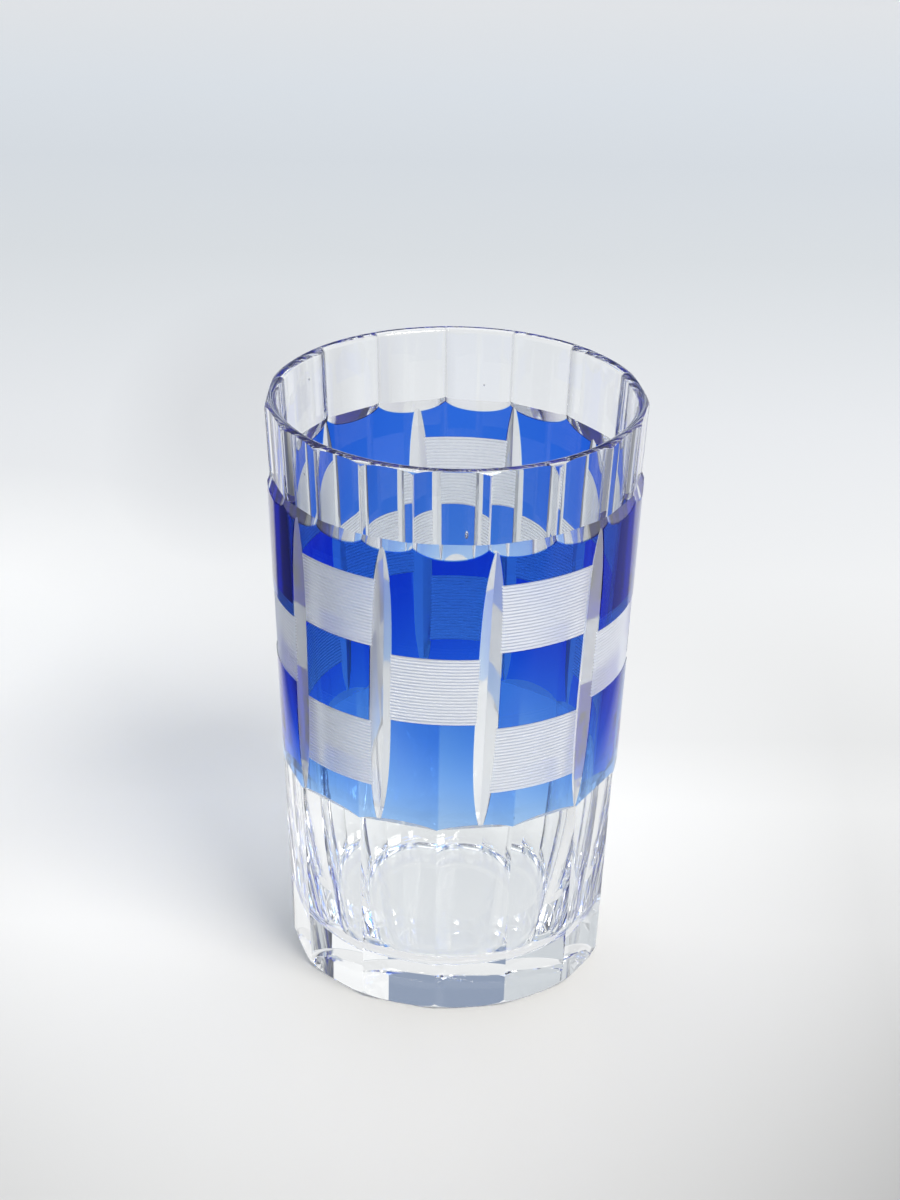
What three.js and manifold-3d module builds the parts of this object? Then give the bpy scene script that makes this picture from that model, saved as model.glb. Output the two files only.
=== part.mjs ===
// A cut glass tumbler: a clear cup with a thick foot, cased in blue glass that the cutter has parted
// into a checker of islands. Millimetres, +Z up, origin at the middle of the foot's resting face.
// Azimuth 0 degrees faces -Y, the front, and grows towards +X.
import * as THREE from "three";
import { mergeVertices } from "three/addons/utils/BufferGeometryUtils.js";
import Module from "manifold-3d";

// Body of the cup
const HEIGHT = 110; // resting face to the crest of the lip
const FOOT_RADIUS = 29.15; // outer cone at the level of the resting face
const RIM_RADIUS = 34.6; // outer cone at the level of the lip's crest
const HEEL_HEIGHT = 2.2; // bevel where the wall turns into the resting face
const HEEL_INSET = 1.35; // how far the heel bevel runs in from the outer cone
const FLOOR_THICKNESS = 6; // glass under the flat of the inner floor
const FLOOR_CORNER = 5; // radius of the corner between inner floor and inner wall
const CORNER_TURN = 72; // degrees that the corner turns through before the wall takes over
const SWELL = 3; // how much thicker the wall has swollen by the time it meets the corner
const SWELL_TOP = 36; // height where the swelling begins
const WALL_GROWTH = 0.0165; // how much thicker the wall gets with each millimetre downwards
const MOUTH_WALL = 2.55; // wall thickness at the mouth, measured to the outer cone
const LIP_CREST_INSET = 1.5; // from the outer cone in to the highest line of the lip
const LIP_OUTER_DROP = 1.9; // height over which the lip rounds off outwards
const LIP_INNER_DROP = 0.9; // height over which the lip rounds off inwards

// Blue casing and the checker that is cut into it
const CASING = 0.7; // from the outer cone in to the clear glass that the casing lies on
const SEAT_GAP = 0.3; // clearance between the casing and the clear glass round it
const CASING_TOP = 95.2; // points of the upper scalloped edge
const CASING_FOOT = 38.7; // points of the lower scalloped edge
const TWO_BAND_UPPER = [74.6, 88]; // lower and upper edge of a line-cut band, where a panel has two
const TWO_BAND_LOWER = [46.3, 59.5];
const ONE_BAND = [60.5, 73.7]; // where a panel has one

// Upright lens cuts between the panels. Hand cut, so the spacing is uneven and they all lean a little.
const LENS_AZIMUTHS = [-22.5, 11.8, 48.3, 87.5, 126.9, 159.7, 192, 227.3, 265.5, 304];
const LENS_LEAN = 2.4; // degrees that a cut's top point stands further round than its foot point
const LENS_FOOT = 38.9; // lower point
const LENS_TOP = 95.4; // upper point
const LENS_WIDTH = 3.85; // across the middle
const LENS_DEPTH = 1.35; // at the middle
const LENS_WEB = 0.9; // clear glass between two islands where a cut runs out to a point

// Hollow flutes round the mouth: the azimuths of the ridges between them
const FLUTE_RIDGES = [-63, -45.2, -28.1, -12, 10.5, 31.7, 52.6, 71, 89.4, 115, 141.1, 162.2, 183.9, 206.6,
  227.5, 253.5, 278.7];
const FLUTE_HOLLOW = 0.25; // how far a flute's middle lies behind the flat between its ridges
const FLUTE_RUNOUT = 1.5; // height over which a flute runs out in the blue

// Flat facets round the foot: the azimuths of the ridges between them
const FACET_RIDGES = [-59.4, -31, -3.7, 21.8, 48.1, 76, 104.1, 132.2, 160.2, 188.3, 216.4, 244.5, 272.5];
const FACET_RUNOUT = 1.2; // height over which a facet runs out under the blue

// Fineness of the meshes
const ROUND_STEPS = 96; // facets in a full circle
const CORNER_STEPS = 5; // facets in the inner floor corner
const SWELL_STEPS = 5; // facets down the swelling of the wall
const LIP_STEPS = 4; // facets on each side of the lip's crest
const LENS_STEPS = 14; // stretches along a lens cut
const FLUTE_STEPS = 4; // stretches across a flute
const PANEL_STEPS = 10; // stretches along the casing from one lens cut to the next
const CLEAR = 2; // how far cutting bodies stand out beyond the glass
const RIDGE_INSET = 0.06; // ridges lie this far inside the outer cone, so that they are sharp
const FACE_REACH = 1.08; // a flute's cutting body reaches past its ridges by this share
const RUNOUT_REACH = 1.3; // and past the end of its runout by this share

const FULL_TURN = 360; // degrees
const QUARTER_TURN = FULL_TURN / 4;

const rad = THREE.MathUtils.degToRad;
const lerp = THREE.MathUtils.lerp;
const outerRadius = (z) => lerp(FOOT_RADIUS, RIM_RADIUS, z / HEIGHT);
const at = (azimuth, radius, z) =>
  new THREE.Vector3(radius * Math.sin(rad(azimuth)), -radius * Math.cos(rad(azimuth)), z);

const wasm = await Module();
wasm.setup();

// Solids and meshes
function solidOf(geometry) {
  geometry.deleteAttribute("normal");
  geometry.deleteAttribute("uv");
  const merged = mergeVertices(geometry, 1e-4);
  return new wasm.Manifold(new wasm.Mesh({
    numProp: 3,
    vertProperties: merged.attributes.position.array,
    triVerts: new Uint32Array(merged.index.array),
  }));
}

function meshOf(solid, name, material) {
  const made = solid.getMesh();
  const geometry = new THREE.BufferGeometry();
  geometry.setAttribute("position", new THREE.BufferAttribute(Float32Array.from(made.vertProperties), 3));
  geometry.setIndex(new THREE.BufferAttribute(Uint32Array.from(made.triVerts), 1));
  geometry.computeVertexNormals();
  const mesh = new THREE.Mesh(geometry, material);
  mesh.name = name;
  return mesh;
}

// A closed body swept through sections that have the same number of points in the same order. Each
// section is convex, and its points run counterclockwise when seen from the section after it.
function sweptSolid(sections) {
  const count = sections[0].length;
  const last = (sections.length - 1) * count;
  const triangles = [];
  for (let first = 0; first < last; first += count) {
    for (let i = 0; i < count; i += 1) {
      const a = first + i;
      const b = first + ((i + 1) % count);
      triangles.push(a, b, b + count, a, b + count, a + count);
    }
  }
  for (let i = 1; i + 1 < count; i += 1) {
    triangles.push(0, i + 1, i);
    triangles.push(last, last + i, last + i + 1);
  }
  const geometry = new THREE.BufferGeometry();
  const positions = sections.flat().flatMap((point) => point.toArray());
  geometry.setAttribute("position", new THREE.Float32BufferAttribute(positions, 3));
  geometry.setIndex(triangles);
  return solidOf(geometry);
}

const joined = (solids) => solids.reduce((sum, solid) => sum.add(solid));
const steps = (count) => Array.from({ length: count + 1 }, (_, i) => i / count);

// The height where the inner wall meets the floor corner
const CORNER_TOP = FLOOR_THICKNESS + FLOOR_CORNER * (1 - Math.cos(rad(CORNER_TURN)));

// The radius of the inner wall at a height. Low down the wall swells, so the hollow narrows to the floor.
function innerRadius(z) {
  const wall = MOUTH_WALL + WALL_GROWTH * (HEIGHT - LIP_INNER_DROP - z);
  const down = Math.max(0, (SWELL_TOP - z) / (SWELL_TOP - CORNER_TOP));
  return outerRadius(z) - wall - SWELL * down ** 2;
}

// The cup before any cutting, turned in one profile: resting face, heel, seat of the casing, lip,
// inner wall and floor
function turnedCup() {
  const shoulder = HEIGHT - LIP_OUTER_DROP;
  const mouth = HEIGHT - LIP_INNER_DROP;
  const crest = RIM_RADIUS - LIP_CREST_INSET;
  const mouthRadius = innerRadius(mouth);
  const flatRadius = innerRadius(CORNER_TOP) - FLOOR_CORNER * Math.sin(rad(CORNER_TURN));
  const quarter = rad(QUARTER_TURN);
  const seatFoot = CASING_FOOT - SEAT_GAP;
  const seatTop = CASING_TOP + SEAT_GAP;
  const profile = [
    [0, 0],
    [FOOT_RADIUS - HEEL_INSET, 0],
    [outerRadius(HEEL_HEIGHT), HEEL_HEIGHT],
    [outerRadius(seatFoot), seatFoot],
    [outerRadius(seatFoot) - CASING, seatFoot],
    [outerRadius(seatTop) - CASING, seatTop],
    [outerRadius(seatTop), seatTop],
  ];
  for (const t of steps(LIP_STEPS)) {
    const turn = t * quarter;
    profile.push([
      lerp(crest, outerRadius(shoulder), Math.cos(turn)),
      shoulder + LIP_OUTER_DROP * Math.sin(turn),
    ]);
  }
  for (const t of steps(LIP_STEPS).slice(1)) {
    const turn = t * quarter;
    profile.push([
      lerp(crest, mouthRadius, Math.sin(turn)),
      mouth + LIP_INNER_DROP * Math.cos(turn),
    ]);
  }
  for (const t of steps(SWELL_STEPS)) {
    const z = lerp(SWELL_TOP, CORNER_TOP, t);
    profile.push([innerRadius(z), z]);
  }
  for (const t of steps(CORNER_STEPS).slice(1)) {
    const turn = (1 - t) * rad(CORNER_TURN);
    profile.push([
      flatRadius + FLOOR_CORNER * Math.sin(turn),
      FLOOR_THICKNESS + FLOOR_CORNER * (1 - Math.cos(turn)),
    ]);
  }
  profile.push([0, FLOOR_THICKNESS]);
  const points = profile.map(([radius, z]) => new THREE.Vector2(radius, z));
  return solidOf(new THREE.LatheGeometry(points, ROUND_STEPS).rotateX(quarter));
}

// The azimuth of a lens cut's valley at a height
function lensAzimuth(index, z) {
  const turns = Math.floor(index / LENS_AZIMUTHS.length) * FULL_TURN;
  const middle = (LENS_FOOT + LENS_TOP) / 2;
  const lean = (LENS_LEAN * (z - middle)) / (LENS_TOP - LENS_FOOT);
  return LENS_AZIMUTHS[index % LENS_AZIMUTHS.length] + turns + lean;
}

// A grinding body for one lens cut: a V whose depth falls away towards both points
function lensCutter(index) {
  const slope = LENS_WIDTH / 2 / LENS_DEPTH;
  return sweptSolid(steps(LENS_STEPS).map((t) => {
    const z = lerp(LENS_FOOT, LENS_TOP, t);
    const depth = LENS_DEPTH * (1 - (2 * t - 1) ** 4);
    const spread = THREE.MathUtils.radToDeg(((depth + CLEAR) * slope) / outerRadius(z));
    const azimuth = lensAzimuth(index, z);
    return [
      at(azimuth, outerRadius(z) - depth, z),
      at(azimuth - spread, outerRadius(z) + CLEAR, z),
      at(azimuth + spread, outerRadius(z) + CLEAR, z),
    ];
  }));
}

// A grinding body for one flute or facet between two ridges. From the level "full" to the level "far"
// it has its whole depth, and from "full" the other way it runs out of the glass over "runout".
function faceCutter(ridges, index, hollow, full, far, runout) {
  const from = ridges[index];
  const to = ridges[(index + 1) % ridges.length] + (index + 1 === ridges.length ? FULL_TURN : 0);
  const middle = at((from + to) / 2, 1, 0);
  const across = at((from + to) / 2 + QUARTER_TURN, 1, 0);
  const half = rad((to - from) / 2);
  const out = full - Math.sign(far - full) * runout * RUNOUT_REACH;
  const levels = [[out, RUNOUT_REACH], [full, 0], [far, 0]].sort((a, b) => a[0] - b[0]);
  return sweptSolid(levels.map(([z, rise]) => {
    const radius = outerRadius(z) - RIDGE_INSET;
    const flat = radius * Math.cos(half);
    const edge = radius * Math.sin(half);
    const lift = rise * (outerRadius(z) - flat + hollow);
    const place = (side, distance) =>
      new THREE.Vector3().addScaledVector(across, side).addScaledVector(middle, distance).setZ(z);
    const floor = steps(FLUTE_STEPS).map((t) => {
      const share = lerp(FACE_REACH, -FACE_REACH, t);
      return place(share * edge, flat - hollow * (1 - share ** 2) + lift);
    });
    const outside = outerRadius(z) + CLEAR + lift;
    return [...floor, place(-FACE_REACH * edge, outside), place(FACE_REACH * edge, outside)];
  }));
}

// The stretch of casing between two neighbouring lens cuts, from one height to another
function casingPlate(panel, low, high) {
  const corner = (t, z, below) => {
    const web = THREE.MathUtils.radToDeg(LENS_WEB / 2 / outerRadius(z));
    const from = lensAzimuth(panel, z) + web;
    const to = lensAzimuth(panel + 1, z) - web;
    return at(lerp(from, to, t), outerRadius(z) - below, z);
  };
  const inner = CASING - SEAT_GAP;
  return sweptSolid(steps(PANEL_STEPS).map((t) =>
    [corner(t, low, inner), corner(t, high, inner), corner(t, high, 0), corner(t, low, 0)]));
}

// The line-cut bands of a panel, and the stretches of blue that they leave
const bandsOf = (panel) => (panel % 2 === 0 ? [ONE_BAND] : [TWO_BAND_LOWER, TWO_BAND_UPPER]);

function islandsOf(panel) {
  const edges = [CASING_FOOT, ...bandsOf(panel).flat(), CASING_TOP];
  const names = edges.length === 4 ? ["lower", "upper"] : ["lower", "middle", "upper"];
  return names.map((place, i) => ({
    name: `blue_panel_${String(panel + 1).padStart(2, "0")}_${place}`,
    low: edges[2 * i],
    high: edges[2 * i + 1],
  }));
}

const panels = LENS_AZIMUTHS.map((_, i) => i);
const lenses = panels.map(lensCutter);
const flutes = joined(FLUTE_RIDGES.map((_, i) =>
  faceCutter(FLUTE_RIDGES, i, FLUTE_HOLLOW, CASING_TOP, HEIGHT + CLEAR, FLUTE_RUNOUT)));
const facets = joined(FACET_RIDGES.map((_, i) =>
  faceCutter(FACET_RIDGES, i, 0, CASING_FOOT, -CLEAR, FACET_RUNOUT)));

const clearGlass = new THREE.MeshStandardMaterial({ color: "#e9eff3", roughness: 0.05, metalness: 0 });
const blueGlass = new THREE.MeshStandardMaterial({ color: "#1f45d2", roughness: 0.05, metalness: 0 });

// The clear cup: turned, then cut by the flutes, the facets and the lens cuts. Where the cutter took the
// casing off for a line-cut band, the bare seat shows.
function clearCup() {
  return meshOf(turnedCup().subtract(joined([flutes, facets, ...lenses])), "clear_cup", clearGlass);
}

// One blue island, parted from its neighbours by the lens cuts and scalloped by flutes and facets
function blueIsland(panel, { name, low, high }) {
  const cuts = joined([lenses[panel], lenses[(panel + 1) % lenses.length], flutes, facets]);
  return meshOf(casingPlate(panel, low, high).subtract(cuts), name, blueGlass);
}

const tumbler = new THREE.Group();
tumbler.add(clearCup());
for (const panel of panels) {
  for (const island of islandsOf(panel)) {
    tumbler.add(blueIsland(panel, island));
  }
}

export default tumbler;
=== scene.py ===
"""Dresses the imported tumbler: clear cut glass, cased in blue that the cutter parted into a checker.

The classes of the glass hold millimetres, which become metres as each mesh is made. The classes of
the table and the studio hold metres. Azimuth 0 degrees faces -Y, the front, and grows towards +X,
as in the part's own source.
"""

import logging
import math
from dataclasses import dataclass, field
from enum import Enum

import bmesh
import bpy
import numpy as np
from mathutils import Matrix, Vector


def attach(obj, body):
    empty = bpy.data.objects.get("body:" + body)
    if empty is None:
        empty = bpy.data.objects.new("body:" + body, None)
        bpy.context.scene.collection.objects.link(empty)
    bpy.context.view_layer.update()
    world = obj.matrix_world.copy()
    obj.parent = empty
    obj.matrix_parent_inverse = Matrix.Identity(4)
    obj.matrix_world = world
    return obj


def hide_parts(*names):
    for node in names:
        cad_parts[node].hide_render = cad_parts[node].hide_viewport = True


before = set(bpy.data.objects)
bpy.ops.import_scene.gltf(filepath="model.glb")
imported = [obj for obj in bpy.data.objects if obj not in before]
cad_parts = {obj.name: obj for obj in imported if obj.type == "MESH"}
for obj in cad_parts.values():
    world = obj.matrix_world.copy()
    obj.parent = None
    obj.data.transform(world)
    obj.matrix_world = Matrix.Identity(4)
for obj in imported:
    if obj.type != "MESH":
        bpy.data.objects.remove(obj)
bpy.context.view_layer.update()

LOG = logging.getLogger("tumbler")
MM = 0.001
FULL_TURN = 360.0
SAME_POINT = 1e-8  # corners of a mesh that are nearer than this, in metres, are one
WAVE_TURN = 20.0  # radians by which a wave texture of scale 1 turns over a metre


# Small helpers


def linear(code: str) -> tuple[float, float, float, float]:
    """Turns an sRGB hex colour to the linear colour that a shader takes.

    Args:
        code: Six hex digits after a hash sign.

    Returns:
        Red, green, blue and an alpha of 1.
    """
    parts = [int(code[i : i + 2], 16) / 255 for i in (1, 3, 5)]
    levels = [p / 12.92 if p <= 0.04045 else ((p + 0.055) / 1.055) ** 2.4 for p in parts]
    return (*levels, 1.0)


def place(azimuth: np.ndarray, radius: np.ndarray, z: np.ndarray) -> np.ndarray:
    """Turns azimuths, radii and heights to points.

    Args:
        azimuth: Azimuths in degrees.
        radius: Distances from the axis.
        z: Heights.

    Returns:
        The points, with their coordinates on the last axis.
    """
    turn = np.radians(azimuth)
    across, along = radius * np.sin(turn), -radius * np.cos(turn)
    return np.stack(np.broadcast_arrays(across, along, z), axis=-1)


def towards(azimuth: float, elevation: float) -> Vector:
    """Finds the direction from the glass to a place in the room.

    Args:
        azimuth: Azimuth of the place in degrees.
        elevation: Its degrees above the table.

    Returns:
        The direction, of length 1.
    """
    turn, rise = math.radians(azimuth), math.radians(elevation)
    flat = math.cos(rise)
    return Vector((math.sin(turn) * flat, -math.cos(turn) * flat, math.sin(rise)))


def linked(name: str, mesh: bpy.types.Mesh) -> bpy.types.Object:
    """Puts a mesh into the scene.

    Args:
        name: Name of the new object.
        mesh: Its mesh.

    Returns:
        The object.
    """
    piece = bpy.data.objects.new(name, mesh)
    bpy.context.scene.collection.objects.link(piece)
    return piece


def removed(piece: bpy.types.Object) -> None:
    """Takes a working object out of the scene."""
    bpy.data.objects.remove(piece)


def swept(
    name: str, sections: np.ndarray, finish: bpy.types.Material, ring: bool
) -> bpy.types.Object:
    """Makes a closed body through cross-sections of the same number of points.

    Args:
        name: Name of the new object.
        sections: Array of sections by points by three coordinates, in millimetres.
        finish: Material of every face.
        ring: True if the last section joins the first, and False if both ends are capped.

    Returns:
        The object, with its faces turned outwards.
    """
    count, points = sections.shape[:2]
    index = np.arange(count * points).reshape(count, points)
    ahead = np.roll(index, -1, axis=0) if ring else index[1:]
    behind = index if ring else index[:-1]
    quads = [behind, np.roll(behind, -1, axis=1), np.roll(ahead, -1, axis=1), ahead]
    faces = np.stack(quads, axis=-1).reshape(-1, 4).tolist()
    if not ring:
        faces += [index[0].tolist(), index[-1][::-1].tolist()]
    mesh = bpy.data.meshes.new(name)
    mesh.from_pydata((sections.reshape(-1, 3) * MM).tolist(), [], faces)
    mesh.materials.append(finish)
    shape = bmesh.new()
    shape.from_mesh(mesh)
    bmesh.ops.remove_doubles(shape, verts=shape.verts, dist=SAME_POINT)
    bmesh.ops.recalc_face_normals(shape, faces=shape.faces)
    shape.to_mesh(mesh)
    shape.free()
    return linked(name, mesh)


class Cut(Enum):
    """What a boolean step keeps of the body."""

    AWAY = "DIFFERENCE"
    WITHIN = "INTERSECT"


def carved(
    body: bpy.types.Object, tool: bpy.types.Object, keep: Cut, name: str
) -> bpy.types.Object:
    """Cuts a body with a tool, and gives the new faces the tool's finish.

    Args:
        body: The closed body, which stays as it is.
        tool: The closed cutting body, which stays as it is.
        keep: What is kept of the body.
        name: Name of the new object.

    Returns:
        The new object.
    """
    step = body.modifiers.new("carve", "BOOLEAN")
    step.operation = keep.value
    step.solver = "MANIFOLD"
    step.material_mode = "TRANSFER"
    step.object = tool
    evaluated = body.evaluated_get(bpy.context.evaluated_depsgraph_get())
    mesh = bpy.data.meshes.new_from_object(evaluated)
    body.modifiers.remove(step)
    mesh.name = name
    return linked(name, mesh)


def polished(piece: bpy.types.Object, edge: float) -> None:
    """Shades a piece smooth, but leaves each edge sharper than the given degrees crisp."""
    piece.data.shade_smooth()
    piece.data.set_sharp_from_angle(angle=math.radians(edge))


def loose_parts(piece: bpy.types.Object) -> list[bpy.types.Object]:
    """Splits a mesh into one object for each connected part.

    Args:
        piece: The object to split, which stays as it is.

    Returns:
        The new objects, with the materials of the whole.
    """
    shape = bmesh.new()
    shape.from_mesh(piece.data)
    shape.faces.ensure_lookup_table()
    seen: set[int] = set()
    groups: list[set[int]] = []
    for face in shape.faces:
        if face.index in seen:
            continue
        group, waiting = set(), [face]
        seen.add(face.index)
        while waiting:
            current = waiting.pop()
            group.add(current.index)
            for edge in current.edges:
                for other in edge.link_faces:
                    if other.index not in seen:
                        seen.add(other.index)
                        waiting.append(other)
        groups.append(group)
    parts = []
    for group in groups:
        part = shape.copy()
        part.faces.ensure_lookup_table()
        others = [face for face in part.faces if face.index not in group]
        bmesh.ops.delete(part, geom=others, context="FACES")
        mesh = bpy.data.meshes.new("part")
        part.to_mesh(mesh)
        part.free()
        for finish in piece.data.materials:
            mesh.materials.append(finish)
        parts.append(linked("part", mesh))
    shape.free()
    return parts


# Form of the glass


@dataclass(frozen=True)
class TumblerForm:
    """The outer cone that every cut is measured from."""

    height: float = 110.0
    foot_radius: float = 29.15
    rim_radius: float = 34.6
    steps: int = 480

    def radius(self, z: np.ndarray) -> np.ndarray:
        """Radius of the outer cone at a height."""
        grown = self.rim_radius - self.foot_radius
        return self.foot_radius + grown * np.asarray(z) / self.height

    def azimuths(self) -> np.ndarray:
        """Azimuths of one full round of fine steps."""
        return np.arange(self.steps) * FULL_TURN / self.steps


@dataclass(frozen=True)
class BlownBlank:
    """The cup as it comes from the mould: foot, wall, melted lip and round inner floor."""

    heel_height: float = 2.2
    heel_inset: float = 1.35
    heel_steps: int = 5
    floor_thickness: float = 6.0
    floor_corner: float = 5.0
    corner_turn: float = 72.0
    swell: float = 3.0
    swell_top: float = 36.0
    wall_growth: float = 0.0165
    mouth_wall: float = 2.55
    lip_crest_inset: float = 1.5
    lip_outer_drop: float = 1.9
    lip_inner_drop: float = 0.9
    corner_steps: int = 20
    swell_steps: int = 16
    lip_steps: int = 14

    def corner_height(self, turn: float) -> float:
        """Height of the round inner corner where it has turned up by an angle in radians."""
        return self.floor_thickness + self.floor_corner * (1 - math.cos(turn))

    def inner_radius(self, form: TumblerForm, z: np.ndarray) -> np.ndarray:
        """Finds the inner wall, which swells inwards towards the floor.

        Args:
            form: The outer cone.
            z: Heights.

        Returns:
            Radius of the inner wall at each height.
        """
        mouth = form.height - self.lip_inner_drop
        wall = self.mouth_wall + self.wall_growth * (mouth - z)
        low = self.corner_height(math.radians(self.corner_turn))
        down = np.clip((self.swell_top - z) / (self.swell_top - low), 0, None)
        return form.radius(z) - wall - self.swell * down**2

    def profile(self, form: TumblerForm) -> np.ndarray:
        """Draws the outline that is turned, from the axis below to the axis above.

        Args:
            form: The outer cone.

        Returns:
            Radius and height of each point.
        """
        quarter = math.pi / 2
        shoulder = form.height - self.lip_outer_drop
        mouth = form.height - self.lip_inner_drop
        crest = form.rim_radius - self.lip_crest_inset
        mouth_radius = form.radius(mouth) - self.mouth_wall
        turns = np.radians(np.linspace(self.corner_turn, 0, self.corner_steps))
        low = self.corner_height(turns[0])
        flat_radius = self.inner_radius(form, low) - self.floor_corner * math.sin(turns[0])
        flat_foot = form.radius(self.heel_height) - self.heel_inset
        points = [(0.0, 0.0)]
        for turn in np.linspace(0, quarter, self.heel_steps):
            out = self.heel_inset * math.sin(turn)
            points.append((flat_foot + out, self.heel_height * (1 - math.cos(turn))))
        for turn in np.linspace(0, quarter, self.lip_steps):
            reach = crest + (form.radius(shoulder) - crest) * math.cos(turn)
            points.append((reach, shoulder + self.lip_outer_drop * math.sin(turn)))
        for turn in np.linspace(0, quarter, self.lip_steps)[1:]:
            reach = crest + (mouth_radius - crest) * math.sin(turn)
            points.append((reach, mouth + self.lip_inner_drop * math.cos(turn)))
        for z in np.linspace(self.swell_top, low, self.swell_steps, endpoint=False):
            points.append((self.inner_radius(form, z), z))
        for turn in turns:
            reach = flat_radius + self.floor_corner * math.sin(turn)
            points.append((reach, self.corner_height(turn)))
        points.append((0.0, self.floor_thickness))
        return np.array(points)

    def build(self, form: TumblerForm, finish: bpy.types.Material) -> bpy.types.Object:
        """Turns the blank.

        Args:
            form: The outer cone.
            finish: Material of the blank.

        Returns:
            The blank.
        """
        outline = self.profile(form)
        sections = place(form.azimuths()[:, None], outline[None, :, 0], outline[None, :, 1])
        return swept("blank", sections, finish, ring=True)


@dataclass(frozen=True)
class GroundFaces:
    """Upright faces ground between ridges: the flutes of the mouth, or the facets of the foot.

    Each face is whole from the height full to the height far, past the end of the glass, and slopes
    out of the glass on the other side of full.
    """

    name: str
    ridges: tuple[float, ...]
    full: float
    far: float
    ridge_inset: float
    hollow: float
    edge_power: float
    slope: float
    corner: float
    rake: float = 0.0
    border: float = 1.0
    lift: float = 2.0
    clear: float = 3.0
    steps: int = 24

    def columns(self, form: TumblerForm, z: float) -> tuple[np.ndarray, np.ndarray, np.ndarray]:
        """Finds the upright lines that the faces are made of, at one height.

        Args:
            form: The outer cone.
            z: The height.

        Returns:
            Azimuth and radius of each line, and its share of the way from its face's middle to a
            ridge, which is the same at every height.
        """
        sides = len(self.ridges)
        deep = np.clip((z - self.far) / (self.full - self.far), 0, 1)
        share = np.sin(np.linspace(-math.pi / 2, math.pi / 2, self.steps + 1))[:-1]
        azimuth, radius, shares = [], [], []
        for i, start in enumerate(self.ridges):
            end = self.ridges[(i + 1) % sides] + (FULL_TURN if i + 1 == sides else 0)
            half = math.radians(end - start) / 2
            reach = float(form.radius(z)) - self.ridge_inset - self.rake * deep
            across = share * reach * math.sin(half)
            hollowed = self.hollow * (1 - np.abs(share) ** self.edge_power)
            along = reach * math.cos(half) - hollowed
            azimuth.append((start + end) / 2 + np.degrees(np.arctan2(across, along)))
            radius.append(np.hypot(across, along))
            shares.append(np.abs(share))
        return np.concatenate(azimuth), np.concatenate(radius), np.concatenate(shares)

    def build(
        self,
        form: TumblerForm,
        finish: bpy.types.Material,
        runout_finish: bpy.types.Material,
        ridge_finish: bpy.types.Material,
    ) -> bpy.types.Object:
        """Makes the ring-shaped grinding body.

        Args:
            form: The outer cone.
            finish: Material of the faces.
            runout_finish: Material of their sloping ends.
            ridge_finish: Material of the faces' borders along the ridges, nearer to a ridge than
                the share border.

        Returns:
            The grinding body.
        """
        away = math.copysign(1, self.far - self.full)
        start = self.full - away * self.lift / self.slope
        points = []
        for z, lift in ((start, self.lift), (self.full, 0.0), (self.far, 0.0)):
            azimuth, radius, share = self.columns(form, z)
            shift = 0.0 if z == self.far else away * self.corner * share**self.edge_power
            points.append(place(azimuth, radius + lift, z + shift))
        for z in (self.far, start):
            azimuth, _, share = self.columns(form, z)
            reach = float(form.radius(z)) + self.lift + self.clear
            points.append(place(azimuth, reach, np.full_like(azimuth, z)))
        tool = swept(self.name, np.stack(points, axis=1), finish, ring=True)
        tool.data.materials.append(runout_finish)
        tool.data.materials.append(ridge_finish)
        slots = np.zeros((share.size, len(points)), dtype=int)
        slots[:, 0] = 1
        slots[:, 1] = 2 * ((share > self.border) & (np.roll(share, -1) > self.border))
        tool.data.polygons.foreach_set("material_index", slots.ravel())
        return tool


@dataclass(frozen=True)
class LensCuts:
    """Ten upright V cuts, pointed at both ends, between the panels."""

    azimuths: tuple[float, ...] = (
        -22.5, 11.8, 48.3, 87.5, 126.9, 159.7, 192.0, 227.3, 265.5, 304.0,
    )
    lean: float = 2.4
    foot: float = 38.0
    top: float = 96.3
    width: float = 3.85
    depth: float = 1.35
    tip_power: int = 4
    clear: float = 2.0
    steps: int = 60

    def azimuth(self, index: int, z: np.ndarray) -> np.ndarray:
        """Follows the valley of a cut, which leans a little.

        Args:
            index: Number of the cut, which goes on counting past a full round.
            z: Heights.

        Returns:
            Azimuth of the valley at each height.
        """
        turns, cut = divmod(index, len(self.azimuths))
        middle = (self.foot + self.top) / 2
        lean = self.lean * (np.asarray(z) - middle) / (self.top - self.foot)
        return self.azimuths[cut] + turns * FULL_TURN + lean

    def build(self, form: TumblerForm, index: int, finish: bpy.types.Material) -> bpy.types.Object:
        """Makes the grinding body of one cut.

        Args:
            form: The outer cone.
            index: Number of the cut.
            finish: Material of the cut's two faces.

        Returns:
            The grinding body.
        """
        share = np.sin(np.linspace(-math.pi / 2, math.pi / 2, self.steps))
        z = (self.foot + self.top) / 2 + share * (self.top - self.foot) / 2
        depth = self.depth * (1 - share**self.tip_power)
        reach = form.radius(z)
        spread = np.degrees((depth + self.clear) * self.width / 2 / self.depth / reach)
        azimuth = self.azimuth(index, z)
        sections = [
            place(azimuth, reach - depth, z),
            place(azimuth - spread, reach + self.clear, z),
            place(azimuth + spread, reach + self.clear, z),
        ]
        return swept(f"lens_{index}", np.stack(sections, axis=1), finish, ring=False)


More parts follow.
